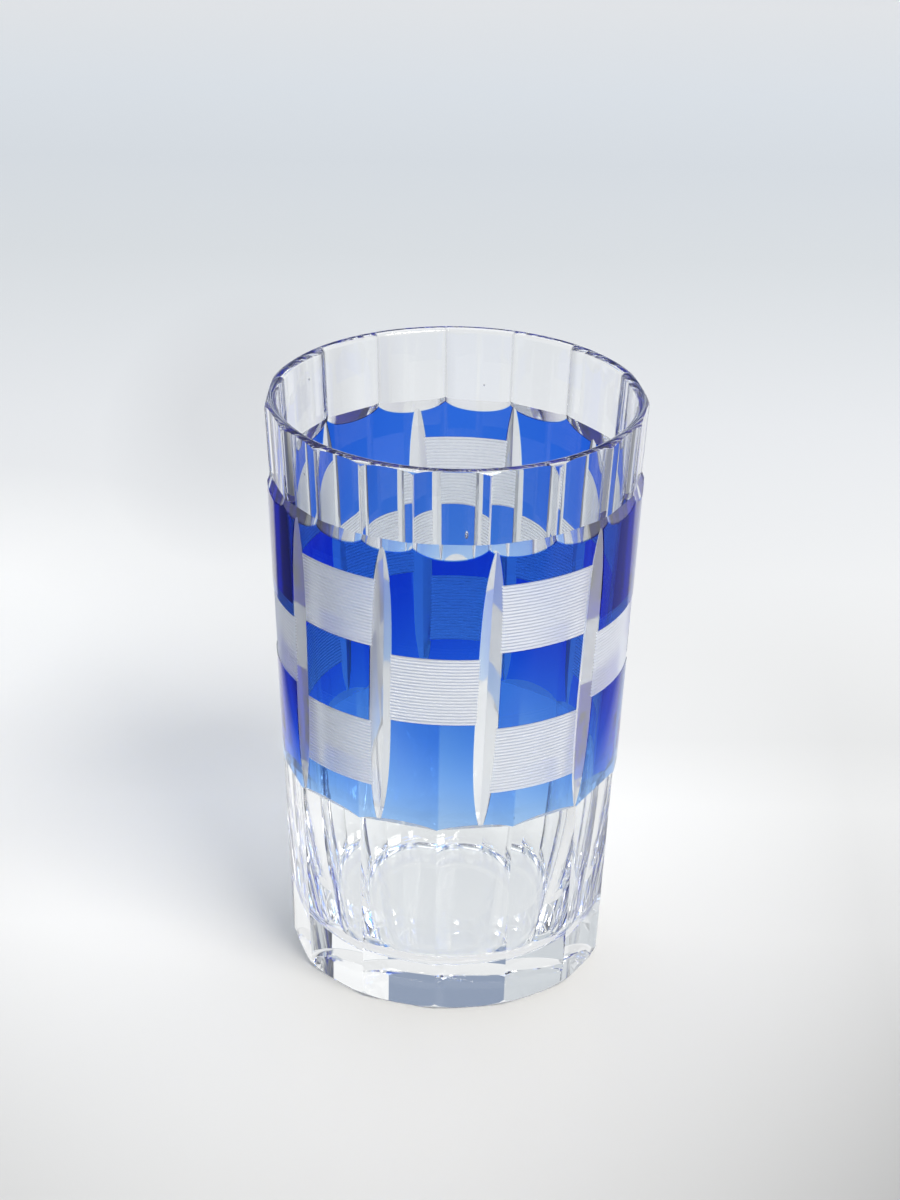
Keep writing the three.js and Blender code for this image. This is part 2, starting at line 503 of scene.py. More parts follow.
@dataclass(frozen=True)
class LineCutBands:
    """Bands of fine level V grooves, cut side by side through the blue."""

    one_band: tuple[float, float] = (60.5, 73.7)
    two_bands: tuple[tuple[float, float], ...] = ((46.3, 59.5), (74.6, 88.0))
    grooves: int = 21
    crest: float = 0.15
    groove: float = 0.15
    clear: float = 2.0
    steps: int = 28

    def of_panel(self, panel: int) -> tuple[tuple[float, float], ...]:
        """Lower and upper edge of each band on a panel."""
        return (self.one_band,) if panel % 2 == 0 else self.two_bands

    def build(
        self,
        form: TumblerForm,
        lenses: LensCuts,
        panel: int,
        band: tuple[float, float],
        finish: bpy.types.Material,
    ) -> bpy.types.Object:
        """Makes the grinding body of one band.

        Args:
            form: The outer cone.
            lenses: The cuts that the band runs between.
            panel: Number of the panel, which is that of the cut before it.
            band: Lower and upper edge of the band.
            finish: Material of the grooves.

        Returns:
            The grinding body.
        """
        low, high = band
        z = np.linspace(low, high, 2 * self.grooves + 1)
        depth = np.where(np.arange(z.size) % 2 == 0, self.crest, self.crest + self.groove)
        z = np.concatenate([z, [high, low]])
        depth = np.concatenate([depth, [-self.clear, -self.clear]])
        share = np.linspace(0, 1, self.steps)[:, None]
        start, end = lenses.azimuth(panel, z), lenses.azimuth(panel + 1, z)
        sections = place(start + (end - start) * share, form.radius(z) - depth, z)
        return swept(f"band_{panel}_{low}", sections, finish, ring=False)


@dataclass(frozen=True)
class Seeds:
    """Small bubbles that the melt left: azimuth, height, depth below the cone, length, width."""

    spots: tuple[tuple[float, float, float, float, float], ...] = (
        (3.9, 97.6, 1.5, 1.5, 0.6),
        (-15.4, 72.4, 0.9, 0.35, 0.3),
        (34.2, 49.4, 1.0, 0.4, 0.3),
        (24.1, 53.5, 1.1, 0.35, 0.3),
        (-52.0, 103.0, 1.6, 0.5, 0.3),
        (-123.0, 105.2, 1.4, 0.6, 0.35),
        (98.0, 101.5, 1.5, 0.7, 0.3),
        (171.0, 99.0, 1.7, 0.45, 0.3),
        (214.0, 27.0, 2.2, 0.8, 0.4),
        (63.0, 21.5, 2.6, 0.4, 0.35),
        (148.0, 12.0, 3.0, 0.5, 0.4),
    )
    rings: int = 10

    def build(self, form: TumblerForm, finish: bpy.types.Material) -> bpy.types.Object:
        """Makes all the bubbles as one cutting body.

        Args:
            form: The outer cone.
            finish: Material of the bubbles' walls.

        Returns:
            The cutting body.
        """
        shape = bmesh.new()
        for azimuth, z, depth, length, width in self.spots:
            centre = Vector(place(azimuth, form.radius(z) - depth, z)) * MM
            grown = Matrix.Diagonal((width / 2, width / 2, length / 2, 1.0))
            bmesh.ops.create_uvsphere(
                shape,
                u_segments=2 * self.rings,
                v_segments=self.rings,
                radius=MM,
                matrix=Matrix.Translation(centre) @ grown,
            )
        mesh = bpy.data.meshes.new("seeds")
        shape.to_mesh(mesh)
        shape.free()
        mesh.materials.append(finish)
        return linked("seeds", mesh)


@dataclass(frozen=True)
class BlueCasing:
    """The blue skin as it was blown: full at the mouth, and thinner towards the foot.

    Its share of the full thickness is given at a row of heights. Below the higher height of lap_top
    it also thickens from one side of each facet to the other, by up to the share lap.
    """

    full: float = 0.12
    reach: tuple[float, float] = (35.0, 100.0)
    heights: tuple[float, ...] = (35.0, 40.0, 46.0, 52.0, 58.0, 64.0, 76.0, 90.0, 100.0)
    shares: tuple[float, ...] = (0.24, 0.34, 0.48, 0.6, 0.72, 0.8, 0.9, 0.97, 1.0)
    lap: float = 0.3
    lap_top: tuple[float, float] = (58.0, 66.0)
    clear: float = 1.0
    steps: int = 27

    def thickness(
        self, azimuth: np.ndarray, z: np.ndarray, ridges: tuple[float, ...]
    ) -> np.ndarray:
        """Finds how thick the skin is.

        Args:
            azimuth: Azimuths in degrees.
            z: Heights.
            ridges: Azimuths of the ridges between the facets of the foot.

        Returns:
            Thickness at each azimuth and height.
        """
        starts = np.array(sorted(ridge % FULL_TURN for ridge in ridges))
        starts = np.append(starts, starts[0] + FULL_TURN)
        turned = (azimuth - starts[0]) % FULL_TURN + starts[0]
        index = np.searchsorted(starts, turned, side="right") - 1
        share = (turned - starts[index]) / (starts[index + 1] - starts[index])
        low, high = self.lap_top
        lap = self.lap * np.clip((high - z) / (high - low), 0, 1) * (share - 0.5)
        return self.full * np.interp(z, self.heights, self.shares) * (1 + lap)

    def build(
        self,
        form: TumblerForm,
        ridges: tuple[float, ...],
        gap: float,
        finish: bpy.types.Material,
    ) -> bpy.types.Object:
        """Makes the ring of space that the skin filled before it was cut.

        Args:
            form: The outer cone.
            ridges: Azimuths of the ridges between the facets of the foot.
            gap: What is taken off the inner face of the ring.
            finish: Material of the ring.

        Returns:
            The ring.
        """
        low, high = self.reach
        inner = np.linspace(low, high, self.steps)
        azimuth = form.azimuths()[:, None]
        depth = self.thickness(azimuth, inner[None, :], ridges) - gap
        outside = np.array([high, low])
        points = [
            place(azimuth, form.radius(inner) - depth, inner),
            place(azimuth, form.radius(outside) + self.clear, outside),
        ]
        return swept("casing", np.concatenate(points, axis=1), finish, ring=True)


# Finishes


def node(tree: bpy.types.NodeTree, kind: str, **settings: object) -> bpy.types.Node:
    """Adds a node, with its inputs and settings.

    Args:
        tree: Node tree that takes the node.
        kind: Blender's name for the node type.
        settings: Properties by name, inputs by name with underscores for spaces, or inputs by
            number after an underscore. An output socket given for an input is linked to it.

    Returns:
        The new node.
    """
    made = tree.nodes.new(kind)
    for key, value in settings.items():
        if hasattr(made, key):
            setattr(made, key, value)
            continue
        socket = made.inputs[int(key[1:])] if key[0] == "_" else made.inputs[key.replace("_", " ")]
        if isinstance(value, bpy.types.NodeSocket):
            tree.links.new(value, socket)
        else:
            socket.default_value = value
    return made


def new_finish(name: str) -> tuple[bpy.types.Material, bpy.types.NodeTree, bpy.types.Node]:
    """Starts a material.

    Args:
        name: Name of the material.

    Returns:
        The material, its empty node tree and its output node.
    """
    finish = bpy.data.materials.new(name)
    finish.use_nodes = True
    tree = finish.node_tree
    tree.nodes.clear()
    return finish, tree, tree.nodes.new("ShaderNodeOutputMaterial")


def waved(
    tree: bpy.types.NodeTree, where: bpy.types.NodeSocket, size: float, height: float
) -> bpy.types.NodeSocket:
    """Gives a surface the faint waves of glass that was blown and melted smooth.

    Args:
        tree: Node tree of the material.
        where: Place on the piece.
        size: Length of a wave, in millimetres.
        height: Its height, in millimetres.

    Returns:
        The normal of the waved surface.
    """
    swell = node(tree, "ShaderNodeTexNoise", Vector=where, Scale=1 / (size * MM), Detail=1.0)
    bump = node(tree, "ShaderNodeBump", Height=swell.outputs[0], Distance=height * MM)
    return bump.outputs[0]


def rubbed(
    tree: bpy.types.NodeTree,
    where: bpy.types.NodeSocket,
    length: float,
    pitch: float,
    detail: float,
) -> bpy.types.NodeSocket:
    """Draws fine level scratches.

    Args:
        tree: Node tree of the material.
        where: Place on the piece.
        length: Length of a scratch, in millimetres.
        pitch: Space from one to the next up the glass, in millimetres.
        detail: Rounds of finer scratches among them.

    Returns:
        Height of the scratched surface, from 0 to 1.
    """
    along, across = 1 / (length * MM), 1 / (pitch * MM)
    drawn = node(
        tree, "ShaderNodeVectorMath", operation="MULTIPLY", _0=where, _1=(along, along, across)
    )
    rows = node(tree, "ShaderNodeTexNoise", Vector=drawn.outputs[0], Scale=1.0, Detail=detail)
    return rows.outputs[0]


def frosted(
    tree: bpy.types.NodeTree, glass: bpy.types.Node, haze: float, colour: str
) -> bpy.types.Node:
    """Covers glass with the fine pits of grinding, which scatter part of the light out of it.

    Args:
        tree: Node tree of the material.
        glass: Shader of the glass between the pits.
        haze: Share of the light that the pits scatter.
        colour: Their whiteness, as sRGB hex.

    Returns:
        The mixed shader. From either side the scattered light is that of the open air.
    """
    outside = node(tree, "ShaderNodeBsdfDiffuse", Color=linear(colour))
    inside = node(tree, "ShaderNodeBsdfTranslucent", Color=linear(colour))
    side = node(tree, "ShaderNodeNewGeometry").outputs["Backfacing"]
    pits = node(
        tree, "ShaderNodeMixShader", Fac=side, _1=outside.outputs[0], _2=inside.outputs[0]
    )
    return node(tree, "ShaderNodeMixShader", Fac=haze, _1=glass.outputs[0], _2=pits.outputs[0])


@dataclass(frozen=True)
class ClearGlass:
    """Clear soda glass: it bends what lies behind it, and mirrors the room a little.

    Waves and wheel lines are in millimetres. Real wheel lines are about 0.3 mm apart, too fine to
    show, and are drawn 2.2 mm apart.
    """

    name: str = "fire_polished_clear_glass"
    colour: str = "#fbfdfe"
    ior: float = 1.52
    roughness: float = 0.0
    haze: float = 0.0
    gloss: float = 0.4
    wave: float = 0.003
    wave_size: float = 9.0
    lines: float = 0.0
    line_spacing: float = 2.2
    line_waver: float = 1.5

    def build(self) -> bpy.types.Material:
        """Makes the material.

        Returns:
            The material.
        """
        finish, tree, out = new_finish(self.name)
        shader = node(
            tree,
            "ShaderNodeBsdfPrincipled",
            Base_Color=linear(self.colour),
            Roughness=self.roughness,
            IOR=self.ior,
            Transmission_Weight=1.0,
            Specular_IOR_Level=self.gloss,
        )
        where = node(tree, "ShaderNodeTexCoord").outputs["Object"]
        if self.wave:
            normal = waved(tree, where, self.wave_size, self.wave)
            if self.lines:
                rows = node(
                    tree,
                    "ShaderNodeTexWave",
                    bands_direction="Z",
                    Vector=where,
                    Distortion=self.line_waver,
                    Scale=math.tau / (self.line_spacing * MM * WAVE_TURN),
                    Detail=2.0,
                )
                bump = node(
                    tree,
                    "ShaderNodeBump",
                    Height=rows.outputs["Fac"],
                    Distance=self.lines * MM,
                    Normal=normal,
                )
                normal = bump.outputs[0]
            tree.links.new(normal, shader.inputs["Normal"])
        if self.haze:
            shader = frosted(tree, shader, self.haze, self.colour)
        tree.links.new(shader.outputs[0], out.inputs["Surface"])
        return finish


@dataclass(frozen=True)
class LineCutGlass:
    """Glass left unpolished by the fine wheel: its grooves scatter light and look satin white.

    The grit's scratches are in millimetres. Real ones are well under 0.1 mm apart, too fine to
    show, and are drawn 0.14 mm apart.
    """

    name: str = "line_cut_satin_glass"
    colour: str = "#f1f5fe"
    ior: float = 1.52
    roughness: float = 0.4
    roughness_spread: float = 0.08
    haze: float = 0.5
    scratch_length: float = 4.0
    scratch_pitch: float = 0.14
    scratch_depth: float = 0.008

    def build(self) -> bpy.types.Material:
        """Makes the material.

        Returns:
            The material.
        """
        finish, tree, out = new_finish(self.name)
        where = node(tree, "ShaderNodeTexCoord").outputs["Object"]
        grit = rubbed(tree, where, self.scratch_length, self.scratch_pitch, detail=2.0)
        bump = node(tree, "ShaderNodeBump", Height=grit, Distance=self.scratch_depth * MM)
        uneven = node(
            tree,
            "ShaderNodeMapRange",
            Value=grit,
            To_Min=self.roughness - self.roughness_spread,
            To_Max=self.roughness + self.roughness_spread,
        )
        glass = node(
            tree,
            "ShaderNodeBsdfPrincipled",
            Base_Color=linear(self.colour),
            Roughness=uneven.outputs["Result"],
            IOR=self.ior,
            Transmission_Weight=1.0,
            Normal=bump.outputs[0],
        )
        shader = frosted(tree, glass, self.haze, self.colour)
        tree.links.new(shader.outputs[0], out.inputs["Surface"])
        return finish


@dataclass(frozen=True)
class FusedSeam:
    """The seam between the clear glass and its overlay: no air in it, so light goes straight on."""

    name: str = "fused_glass_seam"

    def build(self) -> bpy.types.Material:
        """Makes the material.

        Returns:
            The material.
        """
        finish, tree, out = new_finish(self.name)
        straight = node(tree, "ShaderNodeBsdfTransparent")
        tree.links.new(straight.outputs[0], out.inputs["Surface"])
        return finish


@dataclass(frozen=True)
class BlueOverlayGlass:
    """Cobalt blue casing glass: a thin clear skin that is bluer the longer the way through it.

    White light that crosses the thickness once comes out in the passed colour. Waves and scratches
    are in millimetres. Real rubbing marks are about 0.1 mm apart, too fine to show, and are drawn
    0.3 mm apart.
    """

    name: str = "cobalt_blue_overlay_glass"
    passed: str = "#2f6fe9"
    thickness: float = 0.12
    ior: float = 1.52
    roughness: float = 0.0
    gloss: float = 0.2
    wave: float = 0.0025
    wave_size: float = 6.0
    scratch: float = 0.0004
    scratch_length: float = 9.0
    scratch_pitch: float = 0.3

    def build(self) -> bpy.types.Material:
        """Makes the material.

        Returns:
            The material, which leaves faces straight through where their seam value is 1.
        """
        finish, tree, out = new_finish(self.name)
        where = node(tree, "ShaderNodeTexCoord").outputs["Object"]
        bump = node(
            tree,
            "ShaderNodeBump",
            Height=rubbed(tree, where, self.scratch_length, self.scratch_pitch, detail=1.0),
            Distance=self.scratch * MM,
            Normal=waved(tree, where, self.wave_size, self.wave),
        )
        glass = node(
            tree,
            "ShaderNodeBsdfPrincipled",
            Base_Color=linear("#ffffff"),
            Roughness=self.roughness,
            IOR=self.ior,
            Transmission_Weight=1.0,
            Specular_IOR_Level=self.gloss,
            Normal=bump.outputs[0],
        )
        straight = node(tree, "ShaderNodeBsdfTransparent")
        seam = node(tree, "ShaderNodeAttribute", attribute_name="seam").outputs["Fac"]
        mixed = node(
            tree, "ShaderNodeMixShader", Fac=seam, _1=glass.outputs[0], _2=straight.outputs[0]
        )
        tree.links.new(mixed.outputs[0], out.inputs["Surface"])
        taken = [-math.log(level) / (self.thickness * MM) for level in linear(self.passed)[:3]]
        density = max(taken)
        colour = [1 - level / density for level in taken]
        inside = node(
            tree, "ShaderNodeVolumeAbsorption", Color=(*colour, 1), Density=density
        )
        tree.links.new(inside.outputs[0], out.inputs["Volume"])
        return finish


@dataclass(frozen=True)
class PaleTable:
    """A smooth white laminate table top, with a faint gloss, and with painted light and shade that
    change with distance.

    Lengths are in metres from the middle of the glass. The camera sees a surface that the lamps
    light, under painted light and shade. Light that has met the glass sees a pale sheet that shines
    by itself, as painted light which keeps the clear glass bright, and a painted dark reflection past
    its left, right and front edges, which draws the dark lines in the glass. Behind the glass the
    sheet widens with distance.
    """

    name: str = "pale_table_top"
    roughness: float = 0.32
    # Tone at each distance behind the glass, with painted light and shade, and the distances that the
    # ramp spans
    painted_light_and_shade_tones: tuple[tuple[float, str], ...] = (
        (0.05, "#ffffff"),
        (0.08, "#f2f2f2"),
        (0.12, "#f0f0f0"),
        (0.25, "#eff0f2"),
        (0.37, "#e7eaec"),
        (0.45, "#e8ecf0"),
        (0.52, "#f1f5f9"),
        (0.62, "#ffffff"),
    )
    reach: tuple[float, float] = (-0.09, 0.66)
    # Painted shade: how the tone falls towards the front and both sides, and where that ends
    near_fall: float = 0.29
    side_fall: float = 25.0
    side_middle: float = -0.028
    side_limit: float = 0.3
    side_ends: float = 0.16
    fall_ends: tuple[float, float] = (0.13, 0.26)
    far_share: float = 0.2
    # Soft spots of another tone, a painted light and a painted shadow: centre, half sizes and colour,
    # whole within the share spot_core
    spots: tuple[tuple[tuple[float, float, float], tuple[float, float, float], str], ...] = (
        # Painted light: a white glow on the table behind the left of the glass
        ((-0.118, 0.125, 0.0), (0.092, 0.092, 1.0), "#ffffff"),
        # Painted shadow: a grey streak behind the left of the glass
        ((-0.055, 0.25, 0.0), (0.035, 0.09, 1.0), "#e3e4e6"),
    )
    spot_core: float = 0.35
    # What the glass sees: brightness of the sheet that shines as painted light, its tone under the
    # foot as a painted shade, its edges, and the painted dark reflection of the room past them
    glow_through_glass: float = 0.95
    under: str = "#eeeeee"
    under_foot: tuple[float, float] = (0.03, 0.05)
    sheet_left: tuple[float, float] = (-0.075, -0.095)
    sheet_right: tuple[float, float] = (0.085, 0.1)
    sheet_front: tuple[float, float] = (-0.095, -0.115)
    widens_past: float = 0.11
    room_ends: tuple[float, float] = (2.5, 3.5)
    painted_dark_left: str = "#45474f"
    painted_dark_right: str = "#8c8e94"
    painted_dark_front: str = "#3c3e44"

    def painted_light_and_shade_ramp(self, tree: bpy.types.NodeTree, depth: bpy.types.NodeSocket) -> bpy.types.NodeSocket:
        """Draws the tone, with its painted light and shade, along the distance behind the glass.

        Args:
            tree: Node tree of the material.
            depth: Distance behind the middle of the glass.

        Returns:
            The tone.
        """
        low, high = self.reach
        along = node(tree, "ShaderNodeMapRange", Value=depth, From_Min=low, From_Max=high)
        ramp = node(tree, "ShaderNodeValToRGB", Fac=along.outputs["Result"])
        stops = ramp.color_ramp.elements
        for i, (distance, tone) in enumerate(self.painted_light_and_shade_tones):
            position = (distance - low) / (high - low)
            stop = stops[i] if i < len(stops) else stops.new(position)
            stop.position = position
            stop.color = linear(tone)
        return ramp.outputs["Color"]

    def painted_shade_fall(
        self,
        tree: bpy.types.NodeTree,
        across: bpy.types.NodeSocket,
        depth: bpy.types.NodeSocket,
        away: bpy.types.NodeSocket,
    ) -> bpy.types.NodeSocket:
        """Works out the painted shade: how much of the tone is kept towards the front and both sides.

        Args:
            tree: Node tree of the material.
            across: Distance to the right of the middle of the glass.
            depth: Distance behind it.
            away: Distance from it in any direction.

        Returns:
            The share of the tone that is kept.
        """
        front = node(tree, "ShaderNodeMapRange", Value=depth, From_Min=0.0, From_Max=self.reach[0])
        front = node(
            tree, "ShaderNodeMath", operation="MULTIPLY", _0=front.outputs["Result"],
            _1=self.near_fall,
        )
        bow = node(
            tree, "ShaderNodeMath", operation="SUBTRACT", _0=across, _1=self.side_middle
        )
        bow = node(
            tree, "ShaderNodeMath", operation="MULTIPLY", _0=bow.outputs[0], _1=bow.outputs[0]
        )
        bow = node(
            tree, "ShaderNodeMath", operation="MULTIPLY", _0=bow.outputs[0], _1=self.side_fall
        )
        bow = node(
            tree, "ShaderNodeMath", operation="MINIMUM", _0=bow.outputs[0], _1=self.side_limit
        )
        fade = node(tree, "ShaderNodeMapRange", Value=depth, From_Min=self.side_ends, From_Max=0.0)
        side = node(
            tree, "ShaderNodeMath", operation="MULTIPLY", _0=bow.outputs[0],
            _1=fade.outputs["Result"],
        )
        both = node(
            tree, "ShaderNodeMath", operation="ADD", _0=front.outputs[0], _1=side.outputs[0],
            use_clamp=True,
        )
        start, end = self.fall_ends
        kept = node(
            tree, "ShaderNodeMapRange", Value=away, From_Min=start, From_Max=end, To_Min=1.0,
            To_Max=self.far_share,
        )
        both = node(
            tree, "ShaderNodeMath", operation="MULTIPLY", _0=both.outputs[0],
            _1=kept.outputs["Result"],
        )
        level = node(
            tree, "ShaderNodeMath", operation="SUBTRACT", _0=1.0, _1=both.outputs[0],
            use_clamp=True,
        )
        return level.outputs[0]

    def painted_light_and_shadow_spots(
        self,
        tree: bpy.types.NodeTree,
        where: bpy.types.NodeSocket,
        tone: bpy.types.NodeSocket,
    ) -> bpy.types.NodeSocket:
        """Lays the soft spots of painted light and painted shadow over the tone.

        Args:
            tree: Node tree of the material.
            where: Place on the table.
            tone: Tone of the table.

        Returns:
            The tone with its spots.
        """
        for centre, half, colour in self.spots:
            off = node(tree, "ShaderNodeVectorMath", operation="SUBTRACT", _0=where, _1=centre)
            share = node(
                tree, "ShaderNodeVectorMath", operation="DIVIDE", _0=off.outputs[0], _1=half
            )
            part = node(tree, "ShaderNodeVectorMath", operation="LENGTH", _0=share.outputs[0])
            inside = node(
                tree, "ShaderNodeMapRange", Value=part.outputs["Value"], From_Min=1.0,
                From_Max=self.spot_core,
            )
            mixed = node(
                tree, "ShaderNodeMix", data_type="RGBA", _0=inside.outputs["Result"], _6=tone,
                _7=linear(colour),
            )
            tone = mixed.outputs[2]
        return tone

    def sheet(
        self,
        tree: bpy.types.NodeTree,
        across: bpy.types.NodeSocket,
        depth: bpy.types.NodeSocket,
        away: bpy.types.NodeSocket,
        tone: bpy.types.NodeSocket,
    ) -> bpy.types.NodeSocket:
        """Draws the sheet and the painted dark reflection past it, as the glass sees them.

        Args:
            tree: Node tree of the material.
            across: Distance to the right of the middle of the glass.
            depth: Distance behind it.
            away: Distance from it in any direction.
            tone: Tone of the table.

        Returns:
            The colour that shines.
        """
        # Painted shade: under the foot the shining sheet takes the slightly darker tone under
        inner, outer = self.under_foot
        foot = node(tree, "ShaderNodeMapRange", Value=away, From_Min=outer, From_Max=inner)
        mixed = node(
            tree, "ShaderNodeMix", data_type="RGBA", _0=foot.outputs["Result"], _6=tone,
            _7=linear(self.under),
        )
        wide = node(
            tree, "ShaderNodeMath", operation="SUBTRACT", _0=depth, _1=self.widens_past,
            use_clamp=True,
        )
        left = node(tree, "ShaderNodeMath", operation="ADD", _0=across, _1=wide.outputs[0])
        right = node(tree, "ShaderNodeMath", operation="SUBTRACT", _0=across, _1=wide.outputs[0])
        # Painted dark reflections: past the sheet's edges the glass sees dark, where the camera sees
        # the lit table
        edges = (
            (left.outputs[0], self.sheet_left, self.painted_dark_left),
            (right.outputs[0], self.sheet_right, self.painted_dark_right),
            (depth, self.sheet_front, self.painted_dark_front),
        )
        start, end = self.room_ends
        for axis, (inner, outer), dark in edges:
            past = node(tree, "ShaderNodeMapRange", Value=axis, From_Min=inner, From_Max=outer)
            ended = node(
                tree, "ShaderNodeMapRange", Value=axis, From_Min=inner * start,
                From_Max=inner * end, To_Min=1.0, To_Max=0.0,
            )
            within = node(
                tree, "ShaderNodeMath", operation="MULTIPLY", _0=past.outputs["Result"],
                _1=ended.outputs["Result"],
            )
            mixed = node(
                tree, "ShaderNodeMix", data_type="RGBA", _0=within.outputs[0],
                _6=mixed.outputs[2], _7=linear(dark),
            )
        return mixed.outputs[2]

    def build(self) -> bpy.types.Material:
        """Makes the material.

        Returns:
            The material.
        """
        finish, tree, out = new_finish(self.name)
        where = node(tree, "ShaderNodeTexCoord").outputs["Object"]
        parts = node(tree, "ShaderNodeSeparateXYZ", Vector=where)
        across, depth = parts.outputs["X"], parts.outputs["Y"]
        away = node(tree, "ShaderNodeVectorMath", operation="LENGTH", _0=where).outputs["Value"]
        # The tone with its painted light and shade, lowered by the painted shade towards the front
        # and sides
        faded = node(
            tree, "ShaderNodeVectorMath", operation="SCALE", _0=self.painted_light_and_shade_ramp(tree, depth),
            Scale=self.painted_shade_fall(tree, across, depth, away),
        )
        tone = self.painted_light_and_shadow_spots(tree, where, faded.outputs[0])
        lit = node(
            tree, "ShaderNodeBsdfPrincipled", Base_Color=tone, Roughness=self.roughness
        )
        shown = self.sheet(tree, across, depth, away, tone)
        # Painted light: the sheet shines for light that has met the glass
        glow = node(tree, "ShaderNodeEmission", Color=shown, Strength=1.0)
        ray = node(tree, "ShaderNodeLightPath")
        glass = node(
            tree, "ShaderNodeMath", operation="MAXIMUM", _0=ray.outputs["Is Transmission Ray"],
            _1=ray.outputs["Is Glossy Ray"],
        )
        share = node(
            tree, "ShaderNodeMath", operation="MULTIPLY", _0=glass.outputs[0],
            _1=self.glow_through_glass,
        )
        mixed = node(
            tree, "ShaderNodeMixShader", Fac=share.outputs[0], _1=lit.outputs[0],
            _2=glow.outputs[0],
        )
        tree.links.new(mixed.outputs[0], out.inputs["Surface"])
        return finish


@dataclass(frozen=True)
class Finishes:
    """The materials of the pieces."""

    clear: bpy.types.Material
    wheel_cut: bpy.types.Material
    lens_cut: bpy.types.Material
    runout: bpy.types.Material
    ridge: bpy.types.Material
    line_cut: bpy.types.Material
    seam: bpy.types.Material
    blue: bpy.types.Material

    @classmethod
    def made(cls) -> "Finishes":
        """Makes every material of the pieces.

        Returns:
            The materials.
        """
        # Melted smooth in the flame: wide soft waves bend what lies behind.
        clear = ClearGlass()
        # Ground by the wheel and polished bright: flat planes with closer waves and faint lines.
        wheel_cut = ClearGlass(
            "wheel_cut_clear_glass", wave=0.004, wave_size=5.0, lines=0.0002
        )
        # A V cut polished less: light still comes through it, under a white bloom.
        lens_cut = ClearGlass(
            "soft_polished_lens_cut_glass", colour="#f8fbff", roughness=0.04, haze=0.36, wave=0.0
        )
        # The flutes' sloping ends: nearly clear, so the scalloped edge of the blue is a thin line.
        runout = ClearGlass("soft_polished_flute_end", roughness=0.04, haze=0.1, wave=0.0)
        # The crest between two flutes, left soft from grinding: a pale upright line.
        ridge = ClearGlass("soft_ground_flute_ridge", roughness=0.1, haze=0.35, wave=0.0)
        return cls(
            clear=clear.build(),
            wheel_cut=wheel_cut.build(),
            lens_cut=lens_cut.build(),
            runout=runout.build(),
            ridge=ridge.build(),
            line_cut=LineCutGlass().build(),
            seam=FusedSeam().build(),
            blue=BlueOverlayGlass().build(),
        )


# Pieces


@dataclass
class CutGlass:
    """The whole glass: the blank and every wheel that cuts it."""

    form: TumblerForm = field(default_factory=TumblerForm)
    blank: BlownBlank = field(default_factory=BlownBlank)
    lenses: LensCuts = field(default_factory=LensCuts)
    bands: LineCutBands = field(default_factory=LineCutBands)
    casing: BlueCasing = field(default_factory=BlueCasing)
    seeds: Seeds = field(default_factory=Seeds)
    flutes: GroundFaces = GroundFaces(
        name="flutes",
        ridges=(
            -63.0, -45.2, -28.1, -12.0, 10.5, 31.7, 52.6, 71.0, 89.4, 115.0, 141.1, 162.2, 183.9,
            206.6, 227.5, 253.5, 278.7,
        ),
        full=95.7,
        far=113.0,
        ridge_inset=0.15,
        hollow=0.12,
        edge_power=6.0,
        slope=0.45,
        corner=0.3,
        rake=0.3,
        border=0.965,
    )
    facets: GroundFaces = GroundFaces(
        name="facets",
        ridges=(
            -59.4, -31.0, -3.7, 21.8, 48.1, 76.0, 104.1, 132.2, 160.2, 188.3, 216.4, 244.5, 272.5,
        ),
        full=38.7,
        far=-3.0,
        ridge_inset=0.15,
        hollow=0.0,
        edge_power=6.0,
        slope=0.77,
        corner=0.2,
    )

    def cut(self, finishes: Finishes) -> bpy.types.Object:
        """Cuts the blank with every wheel.

        Args:
            finishes: The materials of the blank and its cuts.

        Returns:
            The whole glass, clear and blue in one.
        """
        form, bands, lenses = self.form, self.bands, self.lenses
        body = self.blank.build(form, finishes.clear)
        tools = [
            self.flutes.build(form, finishes.wheel_cut, finishes.runout, finishes.ridge),
            self.facets.build(form, finishes.wheel_cut, finishes.lens_cut, finishes.ridge),
            self.seeds.build(form, finishes.clear),
        ]
        panels = range(len(lenses.azimuths))
        tools += [lenses.build(form, panel, finishes.lens_cut) for panel in panels]
        for panel in panels:
            for band in bands.of_panel(panel):
                tools.append(bands.build(form, lenses, panel, band, finishes.line_cut))
        for tool in tools:
            smaller = carved(body, tool, Cut.AWAY, "glass")
            removed(body)
            removed(tool)
            body = smaller
        return body


